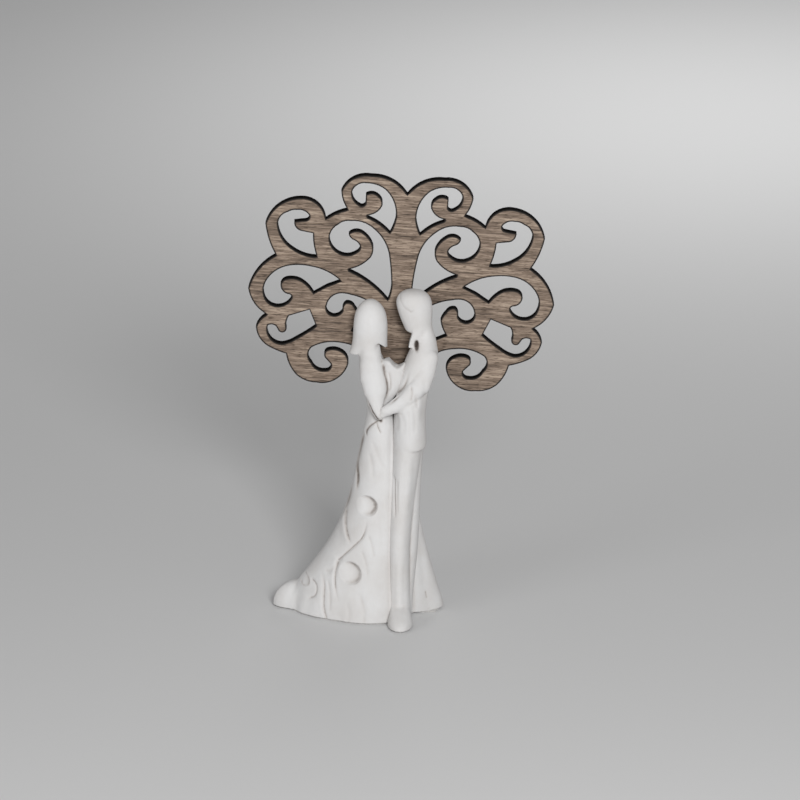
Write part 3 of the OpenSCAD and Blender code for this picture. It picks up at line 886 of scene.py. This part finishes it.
def paintCreaseShade(figure, other, share, paintedShade):
    hollowShade = hollowness(figure, shadeLook["rounds"], shadeLook["depth"]) ** shadeLook["curve"] * share
    touching = rise(nearTo(figure, other, shadeLook["reach"]), shadeLook["touchFrom"], 1) * shadeLook["touchShade"]
    keepShade(figure, "hollowShade", np.maximum(np.maximum(hollowShade, paintedShade), touching))


def makeFigures():
    figures = {}
    for node, maker in (("bride", makeBride), ("groom", makeGroom)):
        figure, paintedShade = maker()
        figure.name = figure.data.name = node + "Casting"
        figures[node] = figure, paintedShade
        print(node, "shaped,", len(figure.data.polygons), "faces")
    (bride, brideShade), (groom, groomShade) = figures["bride"], figures["groom"]
    paintCreaseShade(bride, groom, brideShape["creaseShade"], brideShade)
    paintCreaseShade(groom, bride, groomShape["creaseShade"], groomShade)
    cutBy(bride, trunkSpace())
    for node, figure, slot in (("bride", bride, "bride_plaster"), ("groom", groom, "groom_plaster")):
        flatFoot(figure)
        figure.data.materials.clear()
        figure.data.materials.append(plaster)
        pick(figure)
        bpy.ops.object.shade_smooth()
        finishPiece(figure, node)
        print(node, "made,", len(figure.data.polygons), "faces")


makeFigures()

feltSheet = cadCopy("felt_base", "feltSheet")
feltSheet.data.materials.append(felt)
finishPiece(feltSheet, "felt_base")


studio = {
    "floorSize": 10,
    "floor": {"Base Color": (0.66, 0.66, 0.66, 1), "Roughness": 0.9},
    "elevation": 18.7, "distance": 2.5, "aim": (-0.00074, 0, 0.0991),
    "lens": 257.2, "sensor": 36,
    "room": 0.28,
    # place, aim, size in metres and power
    "lamps": {
        "key": ((0.24, -1.18, 0.64), (0, 0, 0.1), 0.34, 11.6),
        "fill": ((-0.95, -0.85, 0.3), (0, 0, 0.08), 0.5, 3),
        "far": ((0.2, 0.82, 0.42), (0.2, 0.8, 0), 0.4, 1.5),
    },
}


def makeStudio():
    clearSelection()
    bpy.ops.mesh.primitive_plane_add(size=studio["floorSize"], location=(0, 0, 0))
    floor = bpy.context.object
    floor.name = "floor"
    floor.data.materials.append(newMaterial("paleFloor", studio["floor"])[0])
    world = bpy.data.worlds.new("softRoom")
    bpy.context.scene.world = world
    world.use_nodes = True
    room = world.node_tree.nodes["Background"]
    room.inputs["Color"].default_value = (1, 1, 1, 1)
    room.inputs["Strength"].default_value = studio["room"]
    for name, (place, aim, size, power) in studio["lamps"].items():
        data = bpy.data.lights.new(name, "AREA")
        data.energy = power
        data.size = size
        lamp = bpy.data.objects.new(name, data)
        bpy.context.scene.collection.objects.link(lamp)
        lamp.location = place
        lamp.rotation_euler = (Vector(aim) - Vector(place)).to_track_quat("-Z", "Y").to_euler()
    aim = Vector(studio["aim"])
    rising = math.radians(studio["elevation"])
    back = Vector((0, -math.cos(rising), math.sin(rising)))
    cameraData = bpy.data.cameras.new("camera")
    cameraData.lens = studio["lens"]
    cameraData.sensor_width = studio["sensor"]
    camera = bpy.data.objects.new("camera", cameraData)
    bpy.context.scene.collection.objects.link(camera)
    camera.location = aim + back * studio["distance"]
    camera.rotation_euler = (-back).to_track_quat("-Z", "Y").to_euler()
    bpy.context.scene.camera = camera
    bpy.context.scene.view_settings.view_transform = "Standard"


makeStudio()
print("studio made")
